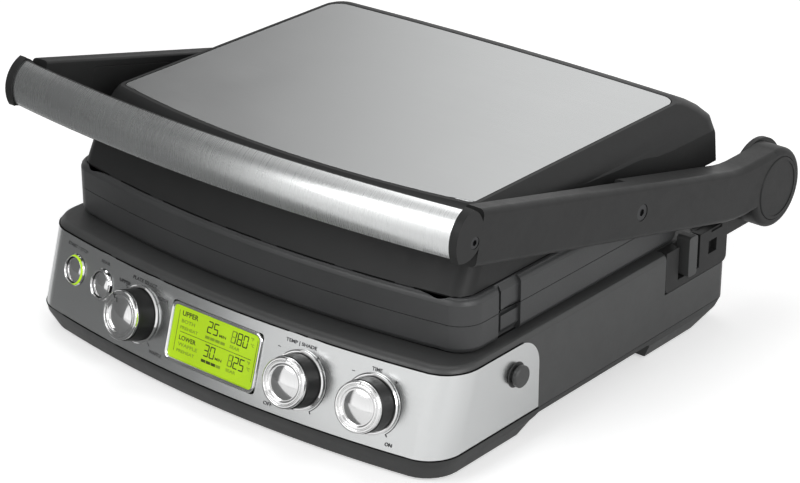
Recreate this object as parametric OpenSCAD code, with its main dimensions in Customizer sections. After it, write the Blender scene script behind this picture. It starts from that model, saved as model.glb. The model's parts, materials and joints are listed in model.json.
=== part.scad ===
// Electric contact grill with a hinged lid, in millimetres.
// +X is the user's right, +Y runs to the hinge at the back and +Z is up.
// Inside the modules y = 0 is the foot of the front panel at its middle, and
// placed() moves the whole model so that the origin is under the middle of its box.

/* [Base] */
// Width of the base across its side walls
base_w = 360; // [320:1:430]
// Depth of the base from the foot of the front panel to the rear wall
base_d = 333; // [300:1:400]
// Height of the steel front panel
panel_h = 53; // [48:1:66]
// Angle that the front leans back
lean = 17; // [10:1:20]
// How far the middle of the front stands ahead of its ends
front_bow = 18.2; // [10:0.1:24]
// Radius of the upright front corners
corner_r = 24; // [18:1:30]
// Radius of the upright rear corners
rear_r = 12; // [8:1:16]
// Height of the rolled rim above the panel
rim_h = 4.5; // [4:0.25:6]
// Width of the open deck between the rim and the plates at the front
deck_ledge = 19.6; // [14:0.1:26]
// Wall thickness of the moulded housings
wall = 2.6; // [2:0.1:3.2]
// Thickness of the steel front panel
panel_t = 1; // [0.8:0.1:1.5]
// Length of the panel's wrap along each side
wrap_l = 117; // [112:1:130]
// Radius of the panel's top corner on each side
wrap_r = 20; // [10:1:24]

/* [Sled and feet] */
// Height of the rubber feet
foot_h = 2.5; // [2:0.25:4]
// Radius of the rubber feet
foot_r = 10; // [8:0.5:11]
// Height of the dark sled under the housing
sled_h = 15.7; // [14.5:0.1:20]
// Height of the sled's raised middle above its runners
arch_h = 12; // [8:0.5:12]

/* [Plates] */
// Step from the side of the base in to the side of the plates
plate_step = 6.8; // [5:0.1:9]
// Height of one grill plate
plate_h = 19.3; // [17:0.1:24]
// Gap between the two plates when the lid is closed
plate_gap = 0.4; // [0.3:0.1:1]
// Thickness of the cooking floor
plate_floor = 3.6; // [3:0.1:4.5]
// Spacing of the grill ribs
rib_pitch = 13; // [11:0.5:18]
// Height of the grill ribs
rib_h = 4; // [2:0.5:5]

/* [Lid] */
// Height of the lid above its lower edge
lid_h = 50.6; // [46:0.1:62]
// Depth from the back of the plates to the rear wall of the base
rear_deck = 45.5; // [44:0.5:56]
// Angle that the lid's front wall leans back
lid_lean = 25; // [16:1:28]
// Thickness of the steel plate on top of the lid
cover_t = 1.2; // [0.8:0.1:2]

/* [Handle and arms] */
// Height of an arm's section
arm_h = 36; // [32:0.5:40]
// Thickness of an arm's front part
arm_t = 14; // [12:0.5:16]
// Added thickness of an arm's rear part, on its inner side
arm_step = 6; // [5:0.5:8]
// Gap between the sides of the plates and the arms
arm_gap = 0.8; // [0.6:0.1:2]
// Radius of the hinge end of an arm
hub_r = 28.4; // [27:0.2:30]
// Distance from the rear wall of the base to the hinge axis
hinge_back = 34.5; // [32:0.5:42]
// How far the middle of the handle bar stands ahead of its ends
handle_bow = 13; // [6:0.5:18]
// Radius of the handle bar's front face
handle_r = 20.8; // [19:0.2:22]
// Thickness of the handle bar's steel skin
handle_t = 1.2; // [1:0.1:1.6]

/* [Controls] */
// Radius of the rings round the three knobs
collar_r = 19.4; // [18:0.2:20]
// How far the knobs stand out of the panel
knob_h = 18; // [15:0.5:20]
// Radius of the two push buttons
button_r = 8.6; // [7.5:0.1:9.5]
// Travel of the two push buttons
button_travel = 1.2; // [1:0.1:1.5]
// Width of the display window
display_w = 75; // [60:0.5:76]
// Height of the display window
display_h = 35; // [30:0.5:38]
// Radius of the plate release button
release_r = 7.3; // [6:0.1:8]
// Travel of the two plate release buttons
release_travel = 2; // [1.5:0.25:2.5]

/* [Drip tray] */
// Width of the drip tray
tray_w = 156; // [120:1:180]
// Height of the drip tray
tray_h = 20; // [14:0.5:21]
// Wall thickness of the drip tray
tray_t = 1.8; // [1.4:0.1:2.4]

/* [Hidden] */
$fn = 64;

// General clearances
fit_gap = 0.3;
pin_gap = 0.05;
seam = 0.3;
far = 400;
thin = 0.02;
// Corner arcs cross the edges they round by this much instead of just touching them
corner_lap = 0.03;
lap = 0.02;
round_fn = 360;

// Heights, from the table up
shell_z = foot_h + sled_h + seam;
panel_top = shell_z + panel_h;
deck_z = panel_top + rim_h;
deck_t = 3;
floor_top = shell_z - 2;
arch_z = foot_h + arch_h;
plate_z = deck_z + fit_gap;
parting_z = plate_z + plate_h;
upper_z = parting_z + plate_gap;
upper_h = plate_h - 1.8;
upper_back = upper_z + upper_h;
lid_z = upper_back + fit_gap;
lid_top = lid_z + lid_h;
hinge_z = deck_z + 14.1;

// Plans, seen from above
function bow_radius(half, bow) = (half * half + bow * bow) / (2 * bow);
half_w = base_w / 2;
base_big = bow_radius(half_w, front_bow * cos(lean));
sled_big = bow_radius(half_w, front_bow);
plate_half = half_w - plate_step;
plate_front = panel_h * tan(lean) + deck_ledge;
plate_rear = base_d - rear_deck;
plate_mid = (plate_front + plate_rear) / 2;
plate_big = bow_radius(plate_half, 17.2);
plate_r = 18.5;
plate_under = 4.4;
hinge_y = base_d + hinge_back;

// Front panel: its surface and the places of the controls
function panel_y(x, z) = (z - shell_z) * tan(lean) + (base_big - sqrt(base_big * base_big - x * x)) / cos(lean);
control_z = shell_z + 26;
button_z = shell_z + 32.2;
start_x = -half_w + 38.3;
sear_x = start_x + 30.4;
select_x = start_x + 71.8;
time_x = half_w - 52.8;
temperature_x = time_x - 54.7;
display_x = (select_x + temperature_x) / 2 - 1.5;
knob_r = collar_r - 2;
window_r = 3;
bezel_w = 2.6;
bezel_gap = 0.2;
release_y = 93.3;
release_z = shell_z + 33.3;

// Arms: a straight stretch from the handle, a bend and a level neck to the hinge
arm_in = plate_half + arm_gap;
arm_out = arm_in + arm_step + arm_t;
arm_face = arm_in + arm_step;
handle_y = plate_front + 1.5;
handle_z = lid_top + 4.2;
neck_z = hinge_z + hub_r - arm_h / 2 - 0.4;
bend_y = hinge_y - 48.6;
bend_r = 120;
arm_slope = atan((handle_z - neck_z) / (bend_y - handle_y));
bend_l = bend_r * tan(arm_slope / 2);
arm_len = (bend_y - handle_y) / cos(arm_slope) - bend_l;
pivot_y = plate_mid + 42;
pivot_z = handle_z - (pivot_y - handle_y) * tan(arm_slope);
pivot_at = (pivot_y - handle_y) / cos(arm_slope);
pivot_r = 4;
lug_r = 10;
cap_r = 22.4;
cap_depth = 8;
shaft_r = 7;
coil_hole = 18;
bar_half = arm_out - 6;
screw_y = handle_y - 4.9;
screw_z = handle_z - 0.6;

// Hinge towers: a plate in the side of the base, and a neck behind the plates
tower_in = plate_half - 1.2;
tower_t = half_w - tower_in;
neck_out = arm_in - fit_gap;
neck_in = neck_out - 4;
boss_in = neck_out - 10;
neck_front = base_d - 36;
tower_front = base_d - 77.5;
tower_rear = base_d - 4.5;
tower_low = shell_z + 27.3;
knuckle_r = hub_r + 2;
knuckle_y = hinge_y + 5;
knuckle_z = hinge_z - 1;
neck_low = knuckle_z - knuckle_r;
lock_y = tower_front + 19.5;
lock_w = 10;
lock_travel = 9;

// Lid
lid_half = plate_half - 5.45;
lid_front = plate_front + 3.15;
lid_rear = base_d + 6;
lid_side = 6;
lid_big = bow_radius(lid_half, 16.5);
cover_half = lid_half - 16;
cover_big = bow_radius(cover_half, 15.7);
cover_front = lid_front + lid_h * tan(lid_lean) + 5.7;
cover_rear = lid_rear - 33.4;
cover_inset = 0.6;
crease_x = lid_half - 3.4;
upper_release_z = upper_back + 13.5;

// Heaters, measured from the back of a plate
pan_deep = 16;
pan_in = 23;
latch_x = plate_half - 15.7;
hook_l = release_travel - 0.3;
tube_r = 3.3;
run_gap = 44;
run_x = [for (i = [-2.5:1:2.5]) i * run_gap];
heater_y0 = plate_front + 64;
heater_y1 = plate_rear - 62;
heater_lift = plate_under - tube_r - fit_gap;

// Drip tray, gland, feet and screws
tray_y0 = plate_rear + 4;
tray_z = deck_z - deck_t - 2 - tray_h;
gland_x = -104;
gland_z = shell_z + 16;
gland_r = 8;
foot_x = half_w - 32;
front_foot_y = 42;
rear_foot_y = base_d - 48;
screw_x = half_w - 12;
handle_half = 15.1;
handle_tilt = 22;
handle_c = sqrt(handle_r * handle_r - handle_half * handle_half);
handle_big = bow_radius(bar_half, handle_bow);
screw_rows = [base_d / 2 - 38, base_d / 2 + 62];

// Middle of the model's box along y, from the knobs or the bar to the hinge ends
turn_in = asin(temperature_x / base_big);
knob_edge = (knob_r - 1.4) * sqrt(pow(sin(turn_in), 2) + pow(sin(lean) * cos(turn_in), 2));
knob_reach = panel_y(temperature_x, control_z) - knob_h * cos(lean) * cos(turn_in) - knob_edge;
bar_reach = handle_y - handle_bow - handle_r;
centre_y = -(min(knob_reach, bar_reach) + knuckle_y + knuckle_r) / 2;

module placed() translate([0, centre_y, 0]) children();
module both_sides() {
    children();
    mirror([1, 0, 0]) children();
}
// Extrudes an outline drawn in (y, z) along x
module side_extrude(x0, t) translate([x0, 0, 0]) rotate([90, 0, 90]) linear_extrude(t) children();
module rounded_rect(w, d, r) {
    translate([-w / 2 + r, -d / 2]) square([w - 2 * r, d]);
    translate([-w / 2, -d / 2 + r]) square([w, d - 2 * r]);
    for (x = [-1, 1]) for (y = [-1, 1]) translate([x * (w / 2 - r), y * (d / 2 - r)]) circle(r);
}
module rounded_block(w, d, h, r) linear_extrude(h) rounded_rect(w, d, r);
// Disc lying on the yz plane from x0 to x1, with its outer edge rounded by f
module side_disc(r, x0, x1, f) translate([x0, 0, 0]) rotate([0, 90, 0]) rotate_extrude() {
    square([r - f, x1 - x0]);
    square([r, x1 - x0 - f]);
    translate([r - f, x1 - x0 - f]) intersection() {
        circle(f);
        square(f);
    }
}

// Corner to take off a bowed edge on the +x side: big is 0 for a straight edge
module corner_cut(half, edge, big, r) {
    fx = half - r;
    fy = big > 0 ? edge + big - sqrt(pow(big - r, 2) - fx * fx) : edge + r;
    turn = big > 0 ? asin(fx / (big - r)) : 0;
    difference() {
        polygon([[fx, fy], [fx + 4 * r * sin(turn), fy - 4 * r * cos(turn)], [fx + 4 * r, fy - 4 * r], [fx + 4 * r, fy]]);
        translate([fx, fy]) circle(r + corner_lap);
    }
}
// Outline with straight sides and straight or bowed ends: front at y0, rear at y1
module barrel_plan(half, y0, y1, big0, big1, r0, r1) {
    difference() {
        intersection() {
            translate([-half, y0]) square([2 * half, y1 - y0]);
            if (big0 > 0) translate([0, y0 + big0]) circle(big0, $fn = round_fn);
            if (big1 > 0) translate([0, y1 - big1]) circle(big1, $fn = round_fn);
        }
        both_sides() {
            corner_cut(half, y0, big0, r0);
            translate([0, y0 + y1]) mirror([0, 1]) corner_cut(half, y0, big1, r1);
        }
    }
}

// Base outline at inset t between two heights, with its front leaning back
module base_block(t, z0, z1) {
    intersection() {
        translate([0, 0, shell_z]) rotate([-lean, 0, 0]) translate([0, 0, -30]) linear_extrude(far)
            barrel_plan(half_w - t, t, 2 * base_d, base_big - t, 0, corner_r - t, corner_r);
        translate([0, 0, z0]) linear_extrude(z1 - z0)
            barrel_plan(half_w - t, -60, base_d - t, 0, 0, 5, rear_r - t);
    }
}
// Side view of the zone that the steel panel wraps, grown by g
module panel_zone(g) {
    side_extrude(-half_w - 5, base_w + 10) {
        translate([-60, shell_z + seam - g]) square([60 + wrap_l - wrap_r, panel_h - 2 * seam + 2 * g]);
        translate([-60, shell_z + seam - g]) square([60 + wrap_l + g, panel_h - 2 * seam - wrap_r + g]);
        translate([wrap_l - wrap_r, panel_top - seam - wrap_r]) circle(wrap_r + g);
    }
}
// Puts children on the panel's surface, with +z pointing straight out of it
module on_panel(x, z) translate([x, panel_y(x, z), z]) rotate([0, 0, asin(x / base_big)]) rotate([90 - lean, 0, 0]) children();
module at_display() on_panel(display_x, control_z + 0.45) children();
module at_release() translate([half_w, release_y, release_z]) rotate([0, 90, 0]) children();
module knob_spots() for (x = [select_x, temperature_x, time_x]) on_panel(x, control_z) children();

// Holes through the front panel and the wall behind it
module control_holes(knob_hole, button_hole, release_hole, depth, sides) {
    knob_spots() translate([0, 0, -depth]) cylinder(h = depth + 5, r = knob_hole);
    for (x = [start_x, sear_x]) on_panel(x, button_z) translate([0, 0, -depth]) cylinder(h = depth + 5, r = button_hole, $fn = sides);
    at_display() translate([0, 0, -depth])
        rounded_block(display_w + 2 * bezel_w + 2 * bezel_gap, display_h + 2 * bezel_w + 2 * bezel_gap, depth + 5, window_r);
    at_release() translate([0, 0, -depth]) cylinder(h = depth + 5, r = release_hole);
}
module front_panel() {
    color("silver") placed() difference() {
        intersection() {
            panel_zone(0);
            difference() {
                base_block(0, shell_z, panel_top);
                base_block(panel_t, shell_z - 1, panel_top + 1);
            }
        }
        control_holes(9, button_r + 2.1, release_r + 1.3, 8, 12);
    }
}

// Dark sled: a shallow tray on two runners, with an arch between them
module sled_slab(z, side, y0, y1) translate([0, 0, z]) linear_extrude(thin)
    barrel_plan(half_w - side, y0, y1, sled_big, 0, corner_r, rear_r);
module sled_pocket(y0, y1) translate([0, (y0 + y1) / 2, foot_h - 1]) rounded_block(base_w - 20, y1 - y0, arch_h - 1, 6);
module foot_spots() for (x = [-foot_x, foot_x]) for (y = [front_foot_y, rear_foot_y]) translate([x, y, 0]) children();
module base_sled() {
    top = shell_z - seam;
    color("dimgray") placed() difference() {
        union() {
            difference() {
                hull($fn = 32) {
                    sled_slab(top - thin, 0, 0, base_d);
                    sled_slab(top - 5, 0.6, 0.8, base_d - 5);
                    sled_slab(foot_h, 6, 6, base_d - 24);
                }
                translate([0, 0, floor_top]) linear_extrude(5)
                    barrel_plan(half_w - 4, 8, base_d - 9, sled_big, 0, corner_r - 4, rear_r - 2);
            }
            // Post that the release spring pushes against
            translate([latch_x - 17, release_y - 6, floor_top - thin]) cube([3, 12, release_z - floor_top + 6]);
        }
        side_extrude(-half_w - 5, base_w + 10) polygon([
            [100, -1], [103, foot_h], [110, foot_h + 9], [118, arch_z],
            [base_d - 94, arch_z], [base_d - 92, arch_z - 2], [base_d - 90, foot_h], [base_d - 89, -1]
        ]);
        difference() {
            union() {
                sled_pocket(30, 88);
                sled_pocket(base_d - 84, base_d - 40);
            }
            foot_spots() cylinder(h = 30, r = foot_r + 3);
        }
        foot_spots() translate([0, 0, -1]) cylinder(h = foot_h + 4.5, r = 3.6);
        for (x = [-90:15:90]) translate([x, base_d / 2 + 10, floor_top - 8]) rounded_block(5, 60, 20, 2.4);
        both_sides() for (y = screw_rows) translate([screw_x, y, -1]) cylinder(h = shell_z + 3, r = 1.8);
    }
}
module rubber_feet() {
    color("black") placed() foot_spots() rotate_extrude() polygon([
        [0, 0], [foot_r - 1, 0], [foot_r, 1], [foot_r, foot_h], [3.4, foot_h], [3.4, foot_h + 3], [0, foot_h + 3]
    ]);
}
module base_screws() {
    color("silver") placed() both_sides() for (y = screw_rows) translate([screw_x, y, 0]) rotate_extrude() polygon([
        [0, arch_z - 2.2], [3.4, arch_z - 2.2], [3.4, arch_z - 0.1], [1.5, arch_z - 0.1], [1.5, shell_z + 9], [0, shell_z + 10.5]
    ]);
}

// Hinge towers: outlines in (y, z) of the side plate and of the neck
module tower_outline() {
    polygon([
        [tower_front, tower_low + 4], [tower_front + 4, tower_low], [tower_rear - 4, tower_low], [tower_rear, tower_low + 4],
        [tower_rear, deck_z], [tower_front, deck_z]
    ]);
    translate([tower_front + 4, tower_low + 4]) circle(4);
    translate([tower_rear - 4, tower_low + 4]) circle(4);
}
module neck_outline() {
    polygon([
        [neck_front, neck_low + 0.3], [knuckle_y, neck_low + 0.3], [knuckle_y, knuckle_z], [knuckle_y - 23, knuckle_z + 18.5],
        [neck_front + 28, deck_z + 10], [neck_front + 12, deck_z + 1.5], [neck_front, deck_z]
    ]);
    translate([knuckle_y, knuckle_z]) circle(knuckle_r);
}
module tower_body(with_lock) {
    difference() {
        union() {
            side_extrude(tower_in, tower_t) tower_outline();
            side_extrude(neck_in, neck_out - neck_in) neck_outline();
            translate([boss_in, hinge_y, hinge_z]) rotate([0, 90, 0]) cylinder(h = neck_in - boss_in + 1, r = 15);
            // Bracket under the housing's deck
            translate([tower_in - 8, tower_front + 4, deck_z - deck_t - 4]) cube([8.1, tower_rear - tower_front - 14, 4 - fit_gap]);
        }
        if (with_lock) {
            side_extrude(tower_in + 1.5, tower_t) translate([lock_y - 5, tower_low + 6])
                square([lock_w + lock_travel + 6, deck_z - tower_low]);
            translate([half_w - 5, tower_front + 50.5, tower_low + 12]) cube([10, 9.5, 9.5]);
            translate([half_w - 1.2, tower_front + 53, tower_low + 27.5]) cube([10, 13, 2.2]);
        }
        translate([boss_in - 4, hinge_y, hinge_z]) rotate([0, 90, 0]) cylinder(h = 30, r = shaft_r);
    }
}
module right_hinge_tower() color("dimgray") placed() tower_body(true);
module left_hinge_tower() color("dimgray") placed() mirror([1, 0, 0]) tower_body(false);
module hinge_shafts() {
    stem_r = 3.6;
    color("gray") placed() both_sides() difference() {
        translate([boss_in - 3, hinge_y, hinge_z]) rotate([0, 90, 0]) {
            cylinder(h = 2.7, r = 12);
            cylinder(h = arm_out - 11.5 - boss_in + 3, r = shaft_r - pin_gap);
        }
        translate([arm_in + 1, hinge_y, hinge_z]) rotate([0, 90, 0]) cylinder(h = 40, r = stem_r);
    }
}
module coil(r, wire, pitch, turns) rotate_extrude() for (i = [0:turns - 1]) translate([r, wire + i * pitch]) circle(wire, $fn = 24);
module hinge_springs() {
    color("gray") placed() both_sides() translate([arm_in + 4.8, hinge_y, hinge_z]) rotate([0, 90, 0]) coil(shaft_r + 1.8, 1.5, 2.4, 3);
}
module lid_lock() {
    y0 = lock_y + 0.4;
    z0 = tower_low + 6.4;
    z1 = deck_z + 5.5;
    color("dimgray") placed() side_extrude(tower_in + 1.8, 10.7) {
        translate([y0 + 2.5, z0]) square([lock_w - 5, z1 - z0]);
        translate([y0, z0 + 2.5]) square([lock_w, z1 - z0 - 5]);
        for (y = [y0 + 2.5, y0 + lock_w - 2.5]) for (z = [z0 + 2.5, z1 - 2.5]) translate([y, z]) circle(2.5);
    }
}

// Grey housing: walls, rolled rim, deck and the bay of the drip tray
module base_housing() {
    color("dimgray") placed() difference() {
        union() {
            difference() {
                union() {
                    base_block(0, shell_z, panel_top);
                    hull($fn = 32) {
                        base_block(0.05, panel_top - thin, panel_top + thin);
                        base_block(0.4, panel_top + rim_h * 0.4, panel_top + rim_h * 0.4 + thin);
                        base_block(1.5, panel_top + rim_h * 0.75, panel_top + rim_h * 0.75 + thin);
                        base_block(4.2, deck_z - thin, deck_z);
                    }
                }
                base_block(wall + panel_t, shell_z - 1, deck_z - deck_t);
            }
            // Bay of the drip tray
            translate([-tray_w / 2 - 2.5, tray_y0 - 2.5, tray_z - 2.5])
                cube([tray_w + 5, base_d - tray_y0, deck_z - deck_t - tray_z + 2.6]);
            // Bosses for the screws that hold the sled
            both_sides() for (y = screw_rows) translate([screw_x - 5, y - 5, shell_z]) cube([half_w - screw_x + 2, 10, 13]);
        }
        // Seat of the steel panel
        intersection() {
            panel_zone(seam);
            difference() {
                base_block(-1, shell_z - 1, panel_top + 1);
                base_block(panel_t + 0.05, shell_z - 2, panel_top + 2);
            }
        }
        control_holes(4.6, button_r + 0.6, release_r - 1.6, 12, 12);
        // Well for the heater and slot for the plate latch
        translate([0, 0, deck_z - 10]) linear_extrude(20)
            barrel_plan(plate_half - 14, plate_front + 24, plate_rear - 14, 0, 0, 12, 12);
        translate([plate_half - 20, release_y - 8, deck_z - 5]) cube([11.5, 16, 10]);
        // Drain to the tray and the tray's mouth
        translate([0, plate_rear + 13, deck_z - 10]) rounded_block(60, 12, 20, 4);
        translate([-tray_w / 2 - fit_gap, tray_y0 - fit_gap, tray_z - fit_gap])
            cube([tray_w + 2 * fit_gap, 80, deck_z - deck_t - tray_z + fit_gap]);
        both_sides() {
            // Notches for the hinge towers
            side_extrude(tower_in - fit_gap, 20) {
                translate([tower_front - fit_gap, tower_low - fit_gap])
                    square([tower_rear - tower_front + 2 * fit_gap, deck_z - tower_low + 5]);
            }
            side_extrude(neck_in - fit_gap, 40) translate([neck_front - fit_gap, neck_low]) square([60, deck_z - neck_low + 5]);
            for (y = screw_rows) translate([screw_x, y, shell_z - 1]) cylinder(h = 12.5, r = 1.6);
        }
        translate([gland_x, base_d - 10, gland_z]) rotate([-90, 0, 0]) cylinder(h = 20, r = gland_r + 0.1);
        for (x = [40:9:112]) translate([x, base_d - 10, shell_z + 7]) cube([4, 20, 18]);
    }
}
module cord_gland() {
    color("black") placed() translate([gland_x, base_d, gland_z]) rotate([-90, 0, 0]) difference() {
        union() {
            translate([0, 0, -8]) cylinder(h = 9, r = gland_r);
            translate([0, 0, 0.1]) cylinder(h = 3, r = gland_r + 2.5);
            translate([0, 0, -8]) cylinder(h = 8 - wall - panel_t - 0.1, r = gland_r + 1.6);
        }
        translate([0, 0, -10]) cylinder(h = 20, r = 3.6);
    }
}
module power_board() {
    z0 = floor_top + 6;
    y0 = plate_mid - 44;
    color("seagreen") placed() {
        translate([-80, y0, z0]) cube([150, 88, 1.6]);
        for (x = [-67.5, 67.5]) for (y = [6, 82]) translate([x, y0 + y, floor_top]) cylinder(h = 6.1, r = 3);
        for (i = [0:2]) translate([-64 + i * 24, y0 + 14, z0 + 1.5]) rounded_block(19, 15.5, 15.5, 1);
        translate([30, y0 + 62, z0 + 1.5]) rounded_block(42, 34, 26, 2);
        for (i = [0:2]) translate([16 + i * 15, y0 + 20, z0 + 1.5]) cylinder(h = 20, r = 5.5);
        translate([-44, y0 + 62, z0 + 1.5]) rounded_block(46, 18, 12, 1);
    }
}

// Heating parts of one plate, with z = 0 at the plate's back
module pan_plan(grow) barrel_plan(
    plate_half - pan_in + grow, plate_front + pan_in + 10 - grow, plate_rear - pan_in + grow, 0, 0, 10 + grow, 10 + grow);
module reflector(side) {
    top = -deck_t - 2 * fit_gap;
    difference() {
        union() {
            translate([0, 0, -pan_deep]) linear_extrude(pan_deep + top) pan_plan(0);
            translate([0, 0, top - 1]) linear_extrude(1) pan_plan(11);
        }
        translate([0, 0, 1 - pan_deep]) linear_extrude(20) pan_plan(-1);
        heater_ends() translate([0, 0, -pan_deep - 2]) cylinder(h = 10, r = 3.6);
        translate([0, plate_mid, -pan_deep - 2]) cylinder(h = 10, r = 4.3);
        translate([side * (plate_half - 13) - 9, release_y - 8, top - 3]) cube([18, 16, 6]);
    }
}
module heater_ends() for (x = [run_x[0], run_x[5]]) translate([x, heater_y1 + 20, 0]) children();
// Tube in parallel runs joined by half turns, with both ends at the back
module heater_tube() translate([0, 0, heater_lift]) {
    drop = pan_deep + heater_lift + 6;
    for (i = [0:5]) {
        y1 = (i == 0 || i == 5) ? heater_y1 + 20 : heater_y1;
        translate([run_x[i], heater_y0 - 0.2, 0]) rotate([-90, 0, 0]) cylinder(h = y1 - heater_y0 + 0.4, r = tube_r);
    }
    for (i = [0:2:4]) translate([(run_x[i] + run_x[i + 1]) / 2, heater_y0, 0]) rotate([0, 0, 180])
        rotate_extrude(angle = 180) translate([run_gap / 2, 0]) circle(tube_r - 0.1);
    for (i = [1:2:3]) translate([(run_x[i] + run_x[i + 1]) / 2, heater_y1, 0])
        rotate_extrude(angle = 180) translate([run_gap / 2, 0]) circle(tube_r - 0.1);
    heater_ends() {
        sphere(tube_r + 0.1);
        translate([0, 0, -drop]) cylinder(h = drop, r = tube_r);
        translate([0, 0, -drop - 8]) cylinder(h = 9, r = 1.6);
    }
}
module thermostat() translate([0, plate_mid, 0]) {
    translate([0, 0, plate_under - 4.2]) cylinder(h = 4, r = 9);
    translate([0, 0, -pan_deep - 8]) cylinder(h = pan_deep + plate_under + 4, r = 4);
    for (x = [-2, 2]) translate([x, 0, -pan_deep - 16]) cylinder(h = 9, r = 0.8);
}
module latch(bar_z, x_out) {
    translate([latch_x - 2.7, release_y - 5, bar_z - 3]) cube([2.7, 10, plate_under - 0.7 - bar_z + 3]);
    translate([latch_x - thin, release_y - 5, plate_under - 2.5]) cube([3.5 + hook_l, 10, 1.8]);
    translate([latch_x - 1, release_y - 3, bar_z - 2]) cube([x_out - latch_x + 1, 6, 4]);
    translate([x_out - 1.2, release_y - 4, bar_z - 4]) cube([1.2, 8, 8]);
}

// One grill plate, rim up, with z = 0 at its back
notch_y0 = release_y - 10.2;
notch_l = 22;
notch_d = 4.4;
tab_l = 17.5;
module plate_outline(t) barrel_plan(plate_half - t, plate_front + t, plate_rear - t, plate_big - t, 0, plate_r - t, plate_r - t);
module plate_slab(z, t) translate([0, 0, z]) linear_extrude(thin) plate_outline(t);
module grill_rib(len) rotate([90, 0, 0]) linear_extrude(len) polygon([
    [-3, -thin], [-1.5, rib_h - 0.6], [-0.9, rib_h], [0.9, rib_h], [1.5, rib_h - 0.6], [3, -thin]
]);
module grill_plate(h, tab_low, tab_high) {
    floor_z = plate_under + plate_floor;
    rib_y0 = plate_front + 27;
    rib_y1 = plate_rear - 17;
    rib_n = floor((plate_half - 24) / rib_pitch);
    difference() {
        union() {
            hull($fn = 32) {
                plate_slab(0, 4);
                plate_slab(0.8, 1.9);
                plate_slab(2.2, 0.6);
                plate_slab(4.2 - thin, 0.05);
            }
            translate([0, 0, 4.2 - thin]) linear_extrude(h - 4.2 + thin) plate_outline(0);
            // Spout over the drip tray
            translate([-12, plate_rear - 8, floor_z - 3]) cube([24, 26, 8]);
        }
        translate([0, 0, floor_z]) linear_extrude(h) plate_outline(7);
        translate([0, 0, -1]) linear_extrude(plate_under + 1) barrel_plan(plate_half - 12, plate_front + 14, plate_rear - 12, 0, 0, 12, 12);
        both_sides() {
            translate([plate_half - notch_d, notch_y0, -1]) cube([20, notch_l, h + 2]);
            translate([plate_half - 14, release_y - 6, plate_under - 2.8]) cube([5, 12, 2.4]);
        }
        translate([-9, plate_rear - 9, floor_z]) cube([18, 25, 10]);
        translate([-9, plate_rear + 8, floor_z - 10]) cube([18, 8, 20]);
    }
    for (i = [-rib_n:rib_n]) translate([i * rib_pitch, rib_y1, floor_z]) grill_rib(rib_y1 - rib_y0);
    // Grip tabs in the side notches
    both_sides() translate([plate_half - notch_d - thin, notch_y0 + notch_l - tab_l, 0]) rotate([90, 0, 0]) mirror([0, 0, 1])
        linear_extrude(tab_l) polygon([[0, tab_low], [2.5, tab_low + 4], [2.5, tab_high], [0, tab_high]]);
}
module lower_plate() color("darkslategray") placed() translate([0, 0, plate_z]) grill_plate(plate_h, 2, plate_h - 3.8);
module lower_reflector() color("silver") placed() translate([0, 0, plate_z]) reflector(1);
module lower_heater() color("gray") placed() translate([0, 0, plate_z]) heater_tube();
module lower_thermostat() color("silver") placed() translate([0, 0, plate_z]) thermostat();
module lower_plate_latch() color("gainsboro") placed() translate([0, 0, plate_z]) latch(release_z - plate_z, half_w - 9.3);

module in_lid() translate([0, 0, upper_back]) mirror([0, 0, 1]) children();
module upper_plate() color("darkslategray") placed() in_lid() grill_plate(upper_h, 1, upper_h);
module upper_reflector() color("silver") placed() in_lid() reflector(-1);
module upper_heater() color("gray") placed() in_lid() heater_tube();
module upper_thermostat() color("silver") placed() in_lid() thermostat();
module upper_plate_latch() {
    color("gainsboro") placed() mirror([1, 0, 0]) in_lid() latch(upper_back - upper_release_z, lid_half - 9.3);
}

module drip_tray() {
    d = base_d - tray_y0;
    color("dimgray") placed() translate([-tray_w / 2, tray_y0, tray_z]) difference() {
        union() {
            cube([tray_w, d, tray_h]);
            translate([tray_w / 2 - 30, d - 1, tray_h - 6]) cube([60, 10, 4]);
        }
        translate([tray_t, tray_t, tray_t]) cube([tray_w - 2 * tray_t, d - 2 * tray_t - 1.2, tray_h]);
        translate([tray_w / 2 - 26, d + 1, tray_h - 7]) cube([52, 5, 3]);
    }
}

// Display, its boards and the knobs
module display_bezel() {
    color("black") placed() at_display() difference() {
        translate([0, 0, -3.4]) rounded_block(display_w + 2 * bezel_w, display_h + 2 * bezel_w, 4.2, window_r - bezel_gap);
        translate([0, 0, -5]) rounded_block(display_w, display_h, 10, 1.5);
    }
}
module display_window() color("yellowgreen") placed() at_display() translate([0, 0, -2.4]) rounded_block(display_w - 0.2, display_h - 0.2, 1.6, 1.4);
module display_module() color("dimgray") placed() at_display() translate([0, 0, -9]) rounded_block(display_w + 3, display_h + 3, 5.4, 1);
module control_board() {
    color("seagreen") placed() at_display() {
        translate([0, 0, -10.8]) rounded_block(display_w + 26, display_h + 4, 1.6, 1);
        for (x = [-20, 18]) translate([x, 0, -13.2]) rounded_block(14, 14, 2.5, 0.6);
    }
}
module button_board() {
    color("seagreen") placed() on_panel((start_x + sear_x) / 2, button_z) {
        translate([0, 0, -15.5]) rounded_block(46, 24, 1.6, 1);
        for (x = [-15.4, 15.4]) translate([x, 0, -14]) rounded_block(6, 6, 2.7, 0.8);
        for (y = [-8, 8]) translate([0, y, -14]) cylinder(h = 9.7, r = 2);
    }
}
module knob_collars() {
    color("silver") placed() knob_spots() rotate_extrude() polygon([
        [knob_r + 0.5, 0.35], [collar_r - 0.4, 0.35], [collar_r, 0.8], [collar_r, 1.5], [collar_r - 0.8, 2.2], [knob_r + 0.5, 2.2]
    ]);
}
module encoders() {
    color("gray") placed() knob_spots() difference() {
        union() {
            translate([0, 0, -10.5]) rounded_block(13, 13, 6.6, 1);
            translate([0, 0, -5]) cylinder(h = 4.6, r = 4.4);
        }
        translate([0, 0, -12]) cylinder(h = 20, r = 3);
    }
}
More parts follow.
